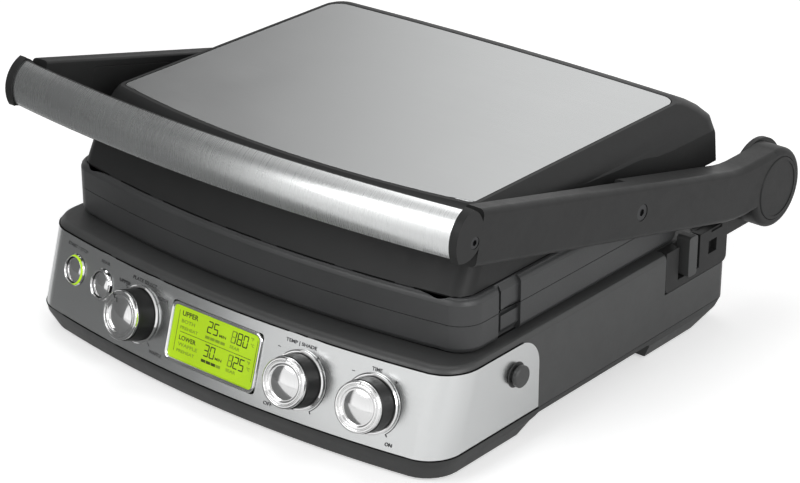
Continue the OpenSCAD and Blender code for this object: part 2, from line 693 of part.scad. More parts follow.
// Knob: a black skirt on its spindle under a bright dished cap
module knob_skirt() {
    rotate_extrude() polygon([
        [0, 1.2], [9, 1.2], [9, 0.8], [knob_r - 0.4, 0.8], [knob_r, 1.3], [knob_r - 0.5, knob_h - 4],
        [knob_r - 1.1, knob_h - 3.4], [0, knob_h - 3.4]
    ]);
    translate([0, 0, -9.5]) cylinder(h = 11, r = 3 - pin_gap);
}
module knob_cap() {
    dish_r = knob_r - 2.6;
    difference() {
        rotate_extrude() polygon(concat(
            [[0, knob_h - 3.3], [knob_r - 1.2, knob_h - 3.3], [knob_r - 0.9, knob_h - 3], [knob_r - 0.9, knob_h - 0.6], [knob_r - 1.4, knob_h]],
            [for (i = [0:8]) let (r = dish_r * (1 - i / 8)) [r, knob_h - 0.2 - 1.5 * (1 - pow(r / dish_r, 2))]]
        ));
        translate([-0.6, knob_r - 8.5, knob_h - 2.2]) cube([1.2, 7, 5]);
    }
}
module select_knob() color("black") placed() on_panel(select_x, control_z) knob_skirt();
module select_knob_cap() color("silver") placed() on_panel(select_x, control_z) rotate([0, 0, 35]) knob_cap();
module temperature_knob() color("black") placed() on_panel(temperature_x, control_z) knob_skirt();
module temperature_knob_cap() color("silver") placed() on_panel(temperature_x, control_z) knob_cap();
module time_knob() color("black") placed() on_panel(time_x, control_z) knob_skirt();
module time_knob_cap() color("silver") placed() on_panel(time_x, control_z) knob_cap();

// Push buttons
module button_collars() {
    color("silver") placed() for (x = [start_x, sear_x]) on_panel(x, button_z) rotate_extrude() polygon([
        [button_r + 0.9, -0.9], [button_r + 1.6, -0.9], [button_r + 1.6, 0.35], [button_r + 2.5, 0.45], [button_r + 1.9, 1.4], [button_r + 0.9, 0.9]
    ]);
}
module start_light_ring() {
    color("greenyellow") placed() on_panel(start_x, button_z) rotate_extrude() translate([button_r + 0.3, -0.9]) square([0.5, 1.4]);
}
module push_button() {
    dish_r = button_r - 1;
    rotate_extrude() polygon(concat(
        [[0, -9.5], [3, -9.5], [3, -6], [button_r - 1.6, -6], [button_r - 1.6, -4], [button_r, -3.6], [button_r, 0.6], [button_r - 0.6, 1.2]],
        [for (i = [0:6]) let (r = dish_r * (1 - i / 6)) [r, 1.1 - 1.1 * (1 - pow(r / dish_r, 2))]]
    ));
}
module start_button() color("silver") placed() on_panel(start_x, button_z) push_button();
module sear_button() color("silver") placed() on_panel(sear_x, button_z) push_button();

// Side button that pushes the lower latch inwards, and its spring
module lower_release_button() {
    color("dimgray") placed() at_release() rotate_extrude() polygon([
        [0, -9], [release_r - 2, -9], [release_r - 2, release_travel + 0.4], [release_r, release_travel + 0.6],
        [release_r, release_travel + 2.8], [release_r - 0.8, release_travel + 3.5], [0, release_travel + 3.7]
    ]);
}
module release_collar() {
    color("black") placed() at_release() rotate_extrude() polygon([
        [release_r - 1.6, -0.9], [release_r + 1.1, -0.9], [release_r + 1.1, 0], [release_r + 0.6, 0.3], [release_r - 1.6, 0.3]
    ]);
}
module release_spring() {
    color("silver") placed() translate([latch_x - 13.9, release_y, release_z]) rotate([0, 90, 0]) coil(3, 0.5, 0.88, 12);
}
module upper_release_button() {
    color("dimgray") placed() translate([-lid_half, release_y, upper_release_z]) rotate([0, -90, 0]) rotate_extrude() polygon([
        [0, -9], [4.6, -9], [4.6, release_travel + 0.4], [6, release_travel + 0.6],
        [6, release_travel + 2.4], [5.2, release_travel + 3.1], [0, release_travel + 3.3]
    ]);
}

// Arms: section drawn with its height along x and its thickness along y
module arm_edge(x, f) translate([arm_h / 2 - f, x]) difference() {
    square(f + 1);
    circle(f);
}
module arm_section(x_in) {
    difference() {
        translate([-arm_h / 2, x_in]) square([arm_h, arm_out - x_in]);
        both_sides() {
            arm_edge(arm_out - 4, 4);
            translate([0, 2 * x_in + 2]) mirror([0, 1]) arm_edge(x_in, 2);
        }
    }
}
module along_arm() translate([0, handle_y, handle_z]) rotate([-arm_slope, 0, 0]) children();
// One straight leg of an arm from a corner point, sloping down by a, with mitred ends
module arm_leg(y, z, a, from, len, m0, m1, x_in) translate([0, y, z]) rotate([-a, 0, 0]) intersection() {
    translate([0, from - 5, 0]) rotate([-90, 0, 0]) linear_extrude(len - from + 10) mirror([1, -1]) arm_section(x_in);
    side_extrude(x_in - 1, arm_out - x_in + 2) polygon([
        [from - m0 - lap, -20], [len + m1 + lap, -20], [len - m1 + lap, 20], [from + m0 - lap, 20]
    ]);
}
turn_step = arm_slope / 3;
turn_l = bend_r * tan(turn_step / 2);
mitre = 20 * tan(turn_step / 2);
corner_1 = [handle_y + (arm_len + turn_l) * cos(arm_slope), handle_z - (arm_len + turn_l) * sin(arm_slope)];
corner_2 = corner_1 + 2 * turn_l * [cos(2 * turn_step), -sin(2 * turn_step)];
corner_3 = corner_2 + 2 * turn_l * [cos(turn_step), -sin(turn_step)];
module arm_rear() {
    arm_leg(handle_y, handle_z, arm_slope, pivot_at - 7.8, arm_len + turn_l, 0, mitre, arm_in);
    arm_leg(corner_1[0], corner_1[1], 2 * turn_step, 0, 2 * turn_l, mitre, mitre, arm_in);
    arm_leg(corner_2[0], corner_2[1], turn_step, 0, 2 * turn_l, mitre, mitre, arm_in);
    arm_leg(corner_3[0], corner_3[1], 0, 0, hinge_y - corner_3[0], mitre, 0, arm_in);
}
cover_from = 44;
cover_l = 104;
cover_h = 24;
module arm_cover(grow, depth) along_arm() translate([arm_face - 0.1, cover_from + cover_l / 2, 0]) rotate([0, 90, 0])
    rounded_block(cover_h + 2 * grow, cover_l + 2 * grow, depth + 0.1, 4 + grow);
module arm_body() {
    difference() {
        union() {
            arm_leg(handle_y, handle_z, arm_slope, 0, pivot_at, 0, 0, arm_face);
            arm_rear();
            translate([0, hinge_y, hinge_z]) side_disc(hub_r, arm_in, arm_out, 4);
            side_extrude(bar_half, arm_out - bar_half) handle_outline(1.3);
        }
        // Socket of the handle, and the screw that holds it
        side_extrude(arm_in - 5, bar_half - arm_in + 5.1) handle_outline(fit_gap);
        translate([bar_half - 5, screw_y, screw_z]) rotate([0, 90, 0]) cylinder(h = 40, r = 2.2);
        translate([arm_out - 3.2, screw_y, screw_z]) rotate([0, 90, 0]) cylinder(h = 10, r = 3.9);
        // Pocket of the inner cover
        arm_cover(fit_gap, 1.5);
        // Lid pivot
        translate([0, pivot_y, pivot_z]) rotate([0, 90, 0]) {
            cylinder(h = 2 * arm_out, r = pivot_r);
            translate([0, 0, arm_out - 3.6]) cylinder(h = 10, r = 5.7);
        }
        // Hinge bore, coil chamber and cap recess
        translate([0, hinge_y, hinge_z]) rotate([0, 90, 0]) {
            cylinder(h = 2 * arm_out, r = shaft_r);
            translate([0, 0, arm_in + 4.5]) cylinder(h = 40, r = coil_hole);
            translate([0, 0, arm_out - cap_depth]) cylinder(h = 40, r = cap_r + fit_gap);
        }
    }
}
module right_arm() color("dimgray") placed() arm_body();
module left_arm() color("dimgray") placed() mirror([1, 0, 0]) arm_body();
module arm_covers() color("dimgray") placed() both_sides() intersection() {
    arm_cover(0, 1.4);
    translate([arm_face, -50, 0]) cube([5, 400, 300]);
}
module hinge_cap() {
    color("dimgray") placed() mirror([1, 0, 0]) translate([0, hinge_y, hinge_z]) difference() {
        side_disc(cap_r, arm_out - cap_depth + 0.2, arm_out + 0.6, 1);
        translate([arm_out - cap_depth, 0, 0]) rotate([0, 90, 0]) cylinder(h = 5, r = 15);
        translate([arm_out + 0.2, 0, 0]) rotate([0, 90, 0]) cylinder(h = 5, r = cap_r - 2.4);
    }
}
module hinge_release_button() {
    color("dimgray") placed() translate([0, hinge_y, hinge_z]) difference() {
        union() {
            side_disc(cap_r, arm_out - 4, arm_out + 0.6, 1);
            translate([arm_out - 14.5, 0, 0]) rotate([0, 90, 0]) cylinder(h = 11, r = 3.3);
        }
        translate([arm_out + 0.2, 0, 0]) rotate([0, 90, 0]) cylinder(h = 5, r = cap_r - 2.4);
    }
}
module lid_pivots() {
    color("silver") placed() both_sides() translate([0, pivot_y, pivot_z]) rotate([0, 90, 0]) difference() {
        union() {
            translate([0, 0, crease_x + 0.5]) cylinder(h = arm_out - 3 - crease_x, r = pivot_r - pin_gap);
            translate([0, 0, arm_out - 3.4]) cylinder(h = 3, r = 5.4);
        }
        translate([0, 0, arm_out - 2]) cylinder(h = 5, r = 2.5, $fn = 6);
    }
}

// Handle: a steel front skin over a core, drawn in (y, z) and swept round a wide upright arc
module handle_frame() translate([handle_y, handle_z + 0.7]) rotate(180 - handle_tilt) translate([handle_c, 0]) children();
module front_side(r) intersection() {
    translate([-handle_c, 0]) circle(r, $fn = 128);
    translate([-thin, -30]) square([40, 60]);
}
module back_side(r) intersection() {
    circle(r, $fn = 128);
    translate([-40, -30]) square([40, 60]);
}
module handle_outline(g) handle_frame() {
    front_side(handle_r + g);
    back_side(handle_half + g);
}
module handle_sweep() {
    turn = 2 * asin(bar_half / handle_big) + 1;
    intersection() {
        translate([0, handle_y - handle_bow + handle_big, 0]) rotate([0, 0, -90 - turn / 2])
            rotate_extrude(angle = turn, $fn = round_fn) translate([handle_big + handle_y, 0]) mirror([1, 0]) children();
        translate([0.1 - bar_half, -100, 0]) cube([2 * bar_half - 0.2, 200, 400]);
    }
}
module handle_bar() color("silver") placed() handle_sweep() handle_frame() difference() {
    front_side(handle_r);
    translate([-handle_c, 0]) circle(handle_r - handle_t, $fn = 128);
    translate([-1, -30]) square([1 + fit_gap, 60]);
}
module handle_core() color("dimgray") placed() difference() {
    handle_sweep() handle_frame() {
        front_side(handle_r - handle_t - 0.2);
        back_side(handle_half);
    }
    both_sides() translate([bar_half - 18, screw_y, screw_z]) rotate([0, 90, 0]) cylinder(h = 40, r = 2.1);
}
module handle_screws() color("silver") placed() both_sides() translate([0, screw_y, screw_z]) rotate([0, 90, 0]) difference() {
    union() {
        translate([0, 0, bar_half - 16]) cylinder(h = 20, r = 1.95);
        translate([0, 0, arm_out - 3.1]) cylinder(h = 2.8, r = 3.7);
    }
    translate([0, 0, arm_out - 2.2]) cylinder(h = 5, r = 2, $fn = 6);
}

// Lid: level outlines at rising heights, joined smoothly
function lid_rise(z) = z * tan(lid_lean);
function lid_bow(z) = lid_big + (cover_big + 3 - lid_big) * z / lid_h;
module lid_slab(z, side, front, rear, big, t, t_side) translate([0, 0, lid_z + z]) linear_extrude(thin)
    barrel_plan(
        lid_half - side - t_side, lid_front + lid_rise(z) + front + t, lid_rear - rear - t,
        lid_bow(z), big, 14 - 0.45 * side - t, 15 - 0.2 * side - t);
module lid_outside() hull($fn = 32) {
    lid_slab(0, 0, 0, 0, 0, 0, 0);
    lid_slab(lid_h - 29, 0.9, 0, 0, 6000, 0, 0);
    lid_slab(lid_h - 17, 3.2, 0, 3.5, 4000, 0, 0);
    lid_slab(lid_h - 9, 6.4, 0, 11.5, 2700, 0, 0);
    lid_slab(lid_h - 4, 9.4, 0.4, 19.5, 2700, 0, 0);
    lid_slab(lid_h - 1.4, 11.3, 1, 24.8, 2700, 0, 0);
    lid_slab(lid_h - thin, 13, 2.2, 30.4, 2700, 0, 0);
}
module lid_inside() hull($fn = 32) {
    lid_slab(-1, 0, 0, 0, 0, 3, lid_side);
    lid_slab(lid_h - 29, 0.9, 0, 0.5, 6000, 3, lid_side);
    lid_slab(lid_h - 14, 4.2, 0, 7.5, 4000, 3, lid_side);
    lid_slab(lid_h - 4, 9.8, 0.5, 21.5, 2700, 3, lid_side);
}
module cover_plan(t) barrel_plan(cover_half - t, cover_front + t, cover_rear - t, cover_big, 2700, 5 - t, 12 - t);
module lid_shell() {
    color("dimgray") placed() difference() {
        union() {
            difference() {
                lid_outside();
                // Lower walls set back beside the arms
                both_sides() side_extrude(crease_x, 20) polygon([
                    [pivot_y - 53, lid_z - 1], [pivot_y - 53, lid_z + 31], [pivot_y - 49, lid_z + 35.2],
                    [pivot_y + 16, lid_z + 31], [pivot_y + 38, lid_z + 30.4], [pivot_y + 48, lid_z + 28.8],
                    [pivot_y + 56, lid_z + 26.9], [pivot_y + 73, lid_z + 25.8], [pivot_y + 150, lid_z + 24.6],
                    [pivot_y + 150, lid_z - 1]
                ]);
            }
            both_sides() translate([crease_x - 2, pivot_y, pivot_z]) rotate([0, 90, 0]) cylinder(h = arm_in - fit_gap - crease_x + 2, r = lug_r);
        }
        lid_inside();
        both_sides() translate([crease_x + 0.2, pivot_y, pivot_z]) rotate([0, 90, 0]) cylinder(h = 40, r = pivot_r);
        translate([0, 0, lid_top - cover_t - 0.1]) linear_extrude(5) cover_plan(-cover_inset);
        translate([-lid_half - 10, release_y, upper_release_z]) rotate([0, 90, 0]) cylinder(h = 20, r = 5);
    }
}
module lid_cover_plate() color("silver") placed() translate([0, 0, lid_top - cover_t]) linear_extrude(cover_t - 0.1) cover_plan(0);
module lid_inner_frame() {
    color("dimgray") placed() in_lid() translate([0, 0, -deck_t - fit_gap]) difference() {
        linear_extrude(deck_t) barrel_plan(
            lid_half - lid_side - fit_gap, lid_front + 5.2, lid_rear - 5.3, lid_big, 0, 13, 14);
        translate([0, 0, -1]) linear_extrude(10) barrel_plan(plate_half - 14, plate_front + 24, plate_rear - 14, 0, 0, 12, 12);
        translate([-plate_half + 8.5, release_y - 8, -5]) cube([11.5, 16, 20]);
    }
}

base_sled();
rubber_feet();
base_housing();
front_panel();
base_screws();
lower_reflector();
lower_heater();
lower_thermostat();
lower_plate();
drip_tray();
power_board();
cord_gland();
display_bezel();
display_window();
display_module();
control_board();
button_board();
knob_collars();
encoders();
select_knob();
select_knob_cap();
temperature_knob();
temperature_knob_cap();
time_knob();
time_knob_cap();
button_collars();
start_light_ring();
start_button();
sear_button();
lower_release_button();
lower_plate_latch();
release_collar();
release_spring();
left_hinge_tower();
right_hinge_tower();
hinge_shafts();
hinge_springs();
lid_lock();
left_arm();
right_arm();
arm_covers();
handle_bar();
handle_core();
handle_screws();
lid_pivots();
hinge_cap();
hinge_release_button();
lid_shell();
lid_cover_plate();
lid_inner_frame();
upper_reflector();
upper_heater();
upper_thermostat();
upper_plate();
upper_plate_latch();
upper_release_button();
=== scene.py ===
import json
import math
import bmesh
import bpy
from mathutils import Matrix, Vector


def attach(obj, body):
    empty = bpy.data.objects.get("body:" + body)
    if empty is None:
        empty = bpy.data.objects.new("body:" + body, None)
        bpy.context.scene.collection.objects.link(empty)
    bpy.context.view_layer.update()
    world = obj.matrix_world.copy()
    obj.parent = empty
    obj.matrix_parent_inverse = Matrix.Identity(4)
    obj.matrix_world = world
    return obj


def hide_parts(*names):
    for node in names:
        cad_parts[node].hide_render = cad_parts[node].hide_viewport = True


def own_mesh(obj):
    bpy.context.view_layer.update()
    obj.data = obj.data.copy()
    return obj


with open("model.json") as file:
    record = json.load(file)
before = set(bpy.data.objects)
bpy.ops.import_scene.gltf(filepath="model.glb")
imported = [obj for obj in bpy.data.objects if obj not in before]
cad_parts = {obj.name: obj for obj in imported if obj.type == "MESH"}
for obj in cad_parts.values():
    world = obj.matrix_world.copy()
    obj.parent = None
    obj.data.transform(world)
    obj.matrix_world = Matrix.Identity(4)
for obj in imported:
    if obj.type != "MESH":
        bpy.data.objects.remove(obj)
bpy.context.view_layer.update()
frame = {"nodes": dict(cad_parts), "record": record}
nodes = frame["nodes"]
scene = bpy.context.scene
rad = math.radians
MM = 0.001

# ---------------------------------------------------------------- places taken from the CAD, in millimetres
CENTRE_Y, SHELL_Z = -195.896, 18.5      # a point of the front panel's face, in the middle of its bow
LEAN, BOW_R = 17.0, 939.49              # the panel's slope in degrees and the radius of its bow
CONTROL_Z, BUTTON_Z = 44.5, 50.7
DISPLAY_Z = CONTROL_Z + 0.45
START_X, SEAR_X, SELECT_X, DISPLAY_X, TEMP_X, TIME_X = -141.7, -111.3, -69.9, -0.2, 72.5, 127.2
TOP = 18.0                              # how far a knob stands out of the panel


def at(x, y, z):
    """A point in metres of the scene, from millimetres; y counts back from CENTRE_Y."""
    return Vector((x * MM, (y + CENTRE_Y) * MM, z * MM))


def panel_frame(x, z):
    """Matrix whose +Z points straight out of the front panel at (x, z)."""
    bow = (BOW_R - math.sqrt(BOW_R ** 2 - x * x)) / math.cos(rad(LEAN))
    y = (z - SHELL_Z) * math.tan(rad(LEAN)) + bow
    turn = Matrix.Rotation(math.asin(x / BOW_R), 4, "Z") @ Matrix.Rotation(rad(90 - LEAN), 4, "X")
    return Matrix.Translation(at(x, y, z)) @ turn


# ---------------------------------------------------------------- node helpers
def node(tree, kind, ins=(), **props):
    """A new node with its properties and inputs set; an input is a value or another node's output."""
    n = tree.nodes.new(kind)
    for k, v in props.items():
        setattr(n, k, v)
    for k, v in dict(ins).items():
        if isinstance(v, bpy.types.NodeSocket):
            tree.links.new(v, n.inputs[k])
        else:
            n.inputs[k].default_value = v
    return n


def calc(t, kind, a, b):
    return node(t, "ShaderNodeMath", {0: a, 1: b}, operation=kind).outputs[0]


def vector(t, kind, a, b):
    return node(t, "ShaderNodeVectorMath", {0: a, 1: b}, operation=kind).outputs[0]


def blank(name):
    """A new material with its tree, its shader and the object's own coordinates."""
    m = bpy.data.materials.new(name)
    m.use_nodes = True
    t = m.node_tree
    pos = node(t, "ShaderNodeTexCoord").outputs["Object"]
    return m, t, t.nodes["Principled BSDF"], pos


def noise(t, pos, scale, detail=3.0, rough=0.5, stretch=None, distort=0.0):
    if stretch:
        pos = vector(t, "MULTIPLY", pos, stretch)
    return node(t, "ShaderNodeTexNoise", {"Vector": pos, "Scale": scale, "Detail": detail, "Roughness": rough,
                                          "Distortion": distort}).outputs[0]


def span(t, value, lo, hi, start=0.3, stop=0.7, curve="LINEAR"):
    """Maps value from start..stop to lo..hi and holds it at the ends."""
    return node(t, "ShaderNodeMapRange", {"Value": value, "From Min": start, "From Max": stop,
                                          "To Min": lo, "To Max": hi}, interpolation_type=curve).outputs[0]


def blend(t, fac, a, b):
    """Mixes two colours, each a plain colour or another node's output."""
    n = node(t, "ShaderNodeMix", {0: fac}, data_type="RGBA")
    for k, v in ((6, a), (7, b)):
        if isinstance(v, bpy.types.NodeSocket):
            t.links.new(v, n.inputs[k])
        else:
            n.inputs[k].default_value = (*v, 1.0)
    return n.outputs[2]


def bump(t, height, distance, strength=1.0, below=None):
    ins = {"Height": height, "Distance": distance, "Strength": strength}
    if below:
        ins["Normal"] = below
    return node(t, "ShaderNodeBump", ins).outputs[0]


def tint(c, k):
    return tuple(min(1.0, v * k) for v in c)


def drift(t, value, colour, vary, start=0.3, stop=0.7):
    """A colour that wanders by that share either way."""
    return blend(t, span(t, value, 0.0, 1.0, start, stop), tint(colour, 1 - vary), tint(colour, 1 + vary))


def wire(t, b, colour, rough, normal=None):
    """Links a shader's main inputs."""
    for socket, value in (("Base Color", colour), ("Roughness", rough), ("Normal", normal)):
        if value:
            t.links.new(value, b.inputs[socket])


# ---------------------------------------------------------------- materials
def plastic(name, colour, rough=0.45, grain=2400.0, depth=2.5e-5, vary=0.08, spec=0.5):
    """Moulded plastic: fine spark texture, slow colour drift, handled patches that shine a little more."""
    m, t, b, pos = blank(name)
    slow = noise(t, pos, scale=26.0, detail=4.0, rough=0.6)
    fine = noise(t, pos, scale=grain, detail=2.0, rough=0.6)
    rubbed = noise(t, pos, scale=95.0, detail=5.0, rough=0.7)
    col = drift(t, slow, colour, vary)
    col = blend(t, span(t, fine, lo=0.0, hi=0.35, start=0.35, stop=0.75), col, tint(colour, 1.35))
    wire(t, b, col, span(t, rubbed, lo=rough - 0.06, hi=rough + 0.07, start=0.25, stop=0.75),
         bump(t, fine, depth, 1.0, bump(t, rubbed, depth * 1.2, 0.5)))
    b.inputs["Specular IOR Level"].default_value = spec
    return m


def brushed(name, colour, rough, grain, tangent, vary=0.05, aniso=0.5, depth=2e-6):
    """Steel brushed along one direction: grain is the scale of the scratches along x, y and z."""
    m, t, b, pos = blank(name)
    streak = noise(t, pos, scale=1.0, detail=3.0, rough=0.65, stretch=grain)
    wide = noise(t, pos, scale=1.0, detail=2.0, stretch=tuple(g * 0.16 for g in grain))
    cloud = noise(t, pos, scale=14.0)
    col = drift(t, streak, colour, vary, start=0.25, stop=0.75)
    col = blend(t, span(t, wide, lo=0.0, hi=0.5), col, tint(colour, 1 - vary * 0.6))
    mixed = calc(t, "ADD", streak, cloud)
    wire(t, b, col, span(t, mixed, lo=rough - 0.02, hi=rough + 0.03, start=0.7, stop=1.3),
         bump(t, streak, depth, 0.8))
    b.inputs["Metallic"].default_value = 1.0
    b.inputs["Anisotropic"].default_value = aniso
    way = node(t, "ShaderNodeCombineXYZ", dict(zip("XYZ", tangent))).outputs[0]
    t.links.new(way, b.inputs["Tangent"])
    return m


def metal(name, colour, rough, grain=900.0, vary=0.04, depth=3e-6):
    """Plain metal with faint handling marks."""
    m, t, b, pos = blank(name)
    smear = noise(t, pos, scale=60.0, detail=5.0, rough=0.65, distort=0.6)
    fine = noise(t, pos, scale=grain, rough=0.6)
    wire(t, b, drift(t, smear, colour, vary), span(t, smear, lo=max(0.02, rough - 0.04), hi=rough + 0.05),
         bump(t, fine, depth, 0.6))
    b.inputs["Metallic"].default_value = 1.0
    return m


def spun(name, colour, rough, centre, axis):
    """Turned metal: fine rings about an axis."""
    m, t, b, pos = blank(name)
    cross = vector(t, "CROSS_PRODUCT", vector(t, "SUBTRACT", pos, centre), axis)
    r = node(t, "ShaderNodeVectorMath", {0: cross}, operation="LENGTH").outputs["Value"]
    rings = node(t, "ShaderNodeTexNoise", {"W": r, "Scale": 2600.0, "Detail": 3.0},
                 noise_dimensions="1D").outputs[0]
    smear = noise(t, pos, scale=90.0, detail=4.0, rough=0.6)
    wire(t, b, drift(t, rings, colour, 0.05), span(t, smear, lo=rough - 0.03, hi=rough + 0.04),
         bump(t, rings, 3e-6, 0.6))
    b.inputs["Metallic"].default_value = 1.0
    return m


def cast(name, colour, rough):
    """Cast aluminium under a dark non-stick coat with fine mineral specks."""
    m, t, b, pos = blank(name)
    slow = noise(t, pos, scale=18.0, detail=4.0, rough=0.6)
    speck = node(t, "ShaderNodeTexVoronoi", {"Vector": pos, "Scale": 900.0}).outputs[0]
    pebble = noise(t, pos, scale=1500.0, rough=0.6)
    col = drift(t, slow, colour, 0.1)
    col = blend(t, span(t, speck, lo=0.5, hi=0.0, start=0.05, stop=0.16), col, tint(colour, 2.2))
    wire(t, b, col, span(t, pebble, lo=rough - 0.07, hi=rough + 0.08), bump(t, pebble, 2e-5, 0.8))
    return m


def board(name, colour):
    """Laminate with a solder mask over faint copper tracks."""
    m, t, b, pos = blank(name)
    tracks = node(t, "ShaderNodeTexBrick", {"Vector": pos, "Scale": 160.0, "Mortar Size": 0.03,
                                            "Color1": (0, 0, 0, 1), "Color2": (0.2, 0.2, 0.2, 1),
                                            "Mortar": (1, 1, 1, 1)}).outputs[0]
    col = blend(t, span(t, tracks, lo=0.0, hi=0.6, start=0.3, stop=1.0), colour, (0.16, 0.34, 0.14))
    wire(t, b, col, span(t, noise(t, pos, scale=300.0), lo=0.3, hi=0.45), bump(t, tracks, 3e-5, 0.6))
    return m


def lit(name, colour, glow, rough=0.2):
    """Backlit part: a diffused colour that glows a little unevenly."""
    m, t, b, pos = blank(name)
    uneven = noise(t, pos, scale=30.0, detail=2.0)
    col = blend(t, span(t, uneven, lo=0.0, hi=1.0), tint(colour, 0.94), tint(colour, 1.05))
    t.links.new(col, b.inputs["Emission Color"])
    b.inputs["Emission Strength"].default_value = glow
    wire(t, b, col, span(t, noise(t, pos, scale=200.0), lo=rough - 0.03, hi=rough + 0.05))
    return m


GREY = (0.052, 0.053, 0.053)
DEEP = (0.019, 0.0193, 0.0193)
STEEL = (0.66, 0.67, 0.67)
LIME = (0.40, 0.62, 0.012)
ALONG_X, ALONG_Y, ALONG_Z = (1.0, 0.0, 0.0), (0.0, 1.0, 0.0), (0.0, 0.0, 1.0)
made = {
    "grey_plastic": plastic("satin_grey_plastic", GREY, rough=0.42),
    "black_plastic": plastic("satin_black_plastic", (0.03, 0.031, 0.031), rough=0.4),
    "rubber": plastic("matt_rubber", (0.028, 0.028, 0.028), rough=0.75, grain=1500.0, depth=4e-5),
    "white_plastic": plastic("white_moulding", (0.72, 0.72, 0.69)),
    "chrome": metal("bright_chrome", (0.86, 0.86, 0.86), rough=0.1),
    "spun_metal": metal("turned_metal", (0.8, 0.8, 0.8), rough=0.17),
    "bright_sheet": brushed("rolled_sheet", (0.7, 0.7, 0.69), 0.3, (900.0, 40.0, 900.0), ALONG_Y,
                            vary=0.06, aniso=0.3, depth=6e-6),
    "heater_steel": metal("oxidised_tube", (0.24, 0.2, 0.17), rough=0.5, grain=700.0, vary=0.25, depth=1e-5),
    "hinge_steel": metal("plain_steel", (0.2, 0.2, 0.205), rough=0.36, grain=1200.0, vary=0.08, depth=6e-6),
    "green_board": board("circuit_laminate", (0.02, 0.12, 0.05)),
    "display_glass": lit("display_lime", LIME, glow=0.36),
    "green_light": lit("ring_light", (0.40, 0.64, 0.015), glow=0.6),
    "cast_plate": cast("coated_casting", (0.045, 0.046, 0.047), rough=0.42),
    "brushed_steel": brushed("brushed_lid", STEEL, 0.24, (16.0, 4200.0, 4200.0), ALONG_X, depth=1.5e-6),
}
PANEL = brushed("brushed_panel", tint(STEEL, 1.1), 0.23, (14.0, 3600.0, 3600.0), ALONG_X)
HANDLE = brushed("brushed_handle", tint(STEEL, 1.14), 0.27, (3600.0, 14.0, 14.0), ALONG_Z,
                 vary=0.07, aniso=0.4, depth=1.5e-6)
LID_GREY = plastic("satin_lid_plastic", DEEP, rough=0.44, spec=0.28)
KNOB_BLACK = plastic("knob_black", (0.011, 0.0112, 0.0112), rough=0.34, spec=0.3)
DARK_STEEL = metal("blackened_steel", (0.075, 0.076, 0.078), rough=0.42, grain=1200.0, vary=0.1, depth=5e-6)
special = {"front_panel": PANEL, "handle_bar": HANDLE}
special.update(dict.fromkeys(("lid_shell", "left_arm", "right_arm", "arm_covers", "handle_core", "hinge_cap",
                              "hinge_release_button", "left_hinge_tower", "right_hinge_tower",
                              "upper_release_button"), LID_GREY))
special.update(dict.fromkeys(("select_knob", "temperature_knob", "time_knob"), KNOB_BLACK))
special.update(dict.fromkeys(("handle_screws", "lid_pivots"), DARK_STEEL))
for row in frame["record"]["subparts"]:
    slots = nodes[row["node"]].data.materials
    slots.clear()
    slots.append(special.get(row["node"]) or made[row["material_slot"]])


# ---------------------------------------------------------------- softened edges on moulded and sheet pieces
WELD = 2e-6                             # metres
FLAT_ANGLE, EDGE_ANGLE = 0.4, 32.0      # degrees: below the first faces merge, above the second edges round
EDGE_SEGMENTS, FACE_WEIGHT = 2, 60
SOFT = {"base_housing": 0.5, "base_sled": 0.6, "left_arm": 0.8, "right_arm": 0.8, "lid_shell": 1.1,
        "left_hinge_tower": 0.6, "right_hinge_tower": 0.6, "lower_plate": 0.8, "upper_plate": 0.8,
        "drip_tray": 0.5, "lid_lock": 0.3, "handle_core": 0.25, "arm_covers": 0.2, "handle_bar": 0.3,
        "lid_cover_plate": 0.25}        # edge widths in millimetres
for name, width in SOFT.items():
    stack = nodes[name].modifiers
    stack.new("weld", "WELD").merge_threshold = WELD
    flat = stack.new("flat", "DECIMATE")
    flat.decimate_type, flat.angle_limit = "DISSOLVE", rad(FLAT_ANGLE)
    edge = stack.new("edge", "BEVEL")
    edge.width, edge.segments, edge.angle_limit = width * MM, EDGE_SEGMENTS, rad(EDGE_ANGLE)
    edge.use_clamp_overlap = True
    shade = stack.new("shade", "WEIGHTED_NORMAL")
    shade.mode, shade.weight = "FACE_AREA", FACE_WEIGHT


def add_object(name, data, materials, body=None, stands_for=None):
    """Links new data into the scene as a piece that rides on a body and may replace a CAD node."""
    for one in materials:
        data.materials.append(one)
    o = bpy.data.objects.new(name, data)
    scene.collection.objects.link(o)
    if body:
        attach(o, body)
    if stands_for:
        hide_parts(stands_for)
    return o


def add_solid(name, b, where, materials, body, stands_for=None):
    """Turns a finished bmesh, drawn about a spot on the panel, into a piece."""
    b.transform(where)
    m = bpy.data.meshes.new(name)
    b.to_mesh(m)
    b.free()
    add_object(name, m, materials, body, stands_for)


# ---------------------------------------------------------------- printed marks: shapes are (points, faces)
LETTER_STEPS, LETTER_GROWTH = 3, 0.022
CUT = 4.0                               # longest cut of a stroke, in millimetres or degrees


def glyphs(words):
    """Outline of a word in the plain built-in lettering."""
    c = bpy.data.curves.new("word", "FONT")
    c.body, c.resolution_u, c.offset = words, LETTER_STEPS, LETTER_GROWTH
    o = bpy.data.objects.new("word", c)
    scene.collection.objects.link(o)
    m = bpy.data.meshes.new_from_object(o.evaluated_get(bpy.context.evaluated_depsgraph_get()))
    points = [(v.co.x, v.co.y) for v in m.vertices]
    faces = [tuple(p.vertices) for p in m.polygons]
    bpy.data.objects.remove(o)
    bpy.data.curves.remove(c)
    bpy.data.meshes.remove(m)
    return points, faces


def word(words, x0, x1, y0, y1):
    """A word that fills the box from (x0, y0) to (x1, y1)."""
    points, faces = glyphs(words)
    (left, right), (low, high) = [(min(c), max(c)) for c in zip(*points)]
    return [(x0 + (x1 - x0) * (x - left) / (right - left),
             y0 + (y1 - y0) * (y - low) / (high - low)) for x, y in points], faces


def strip(cuts):
    return [(2 * i, 2 * i + 1, 2 * i + 3, 2 * i + 2) for i in range(cuts)]


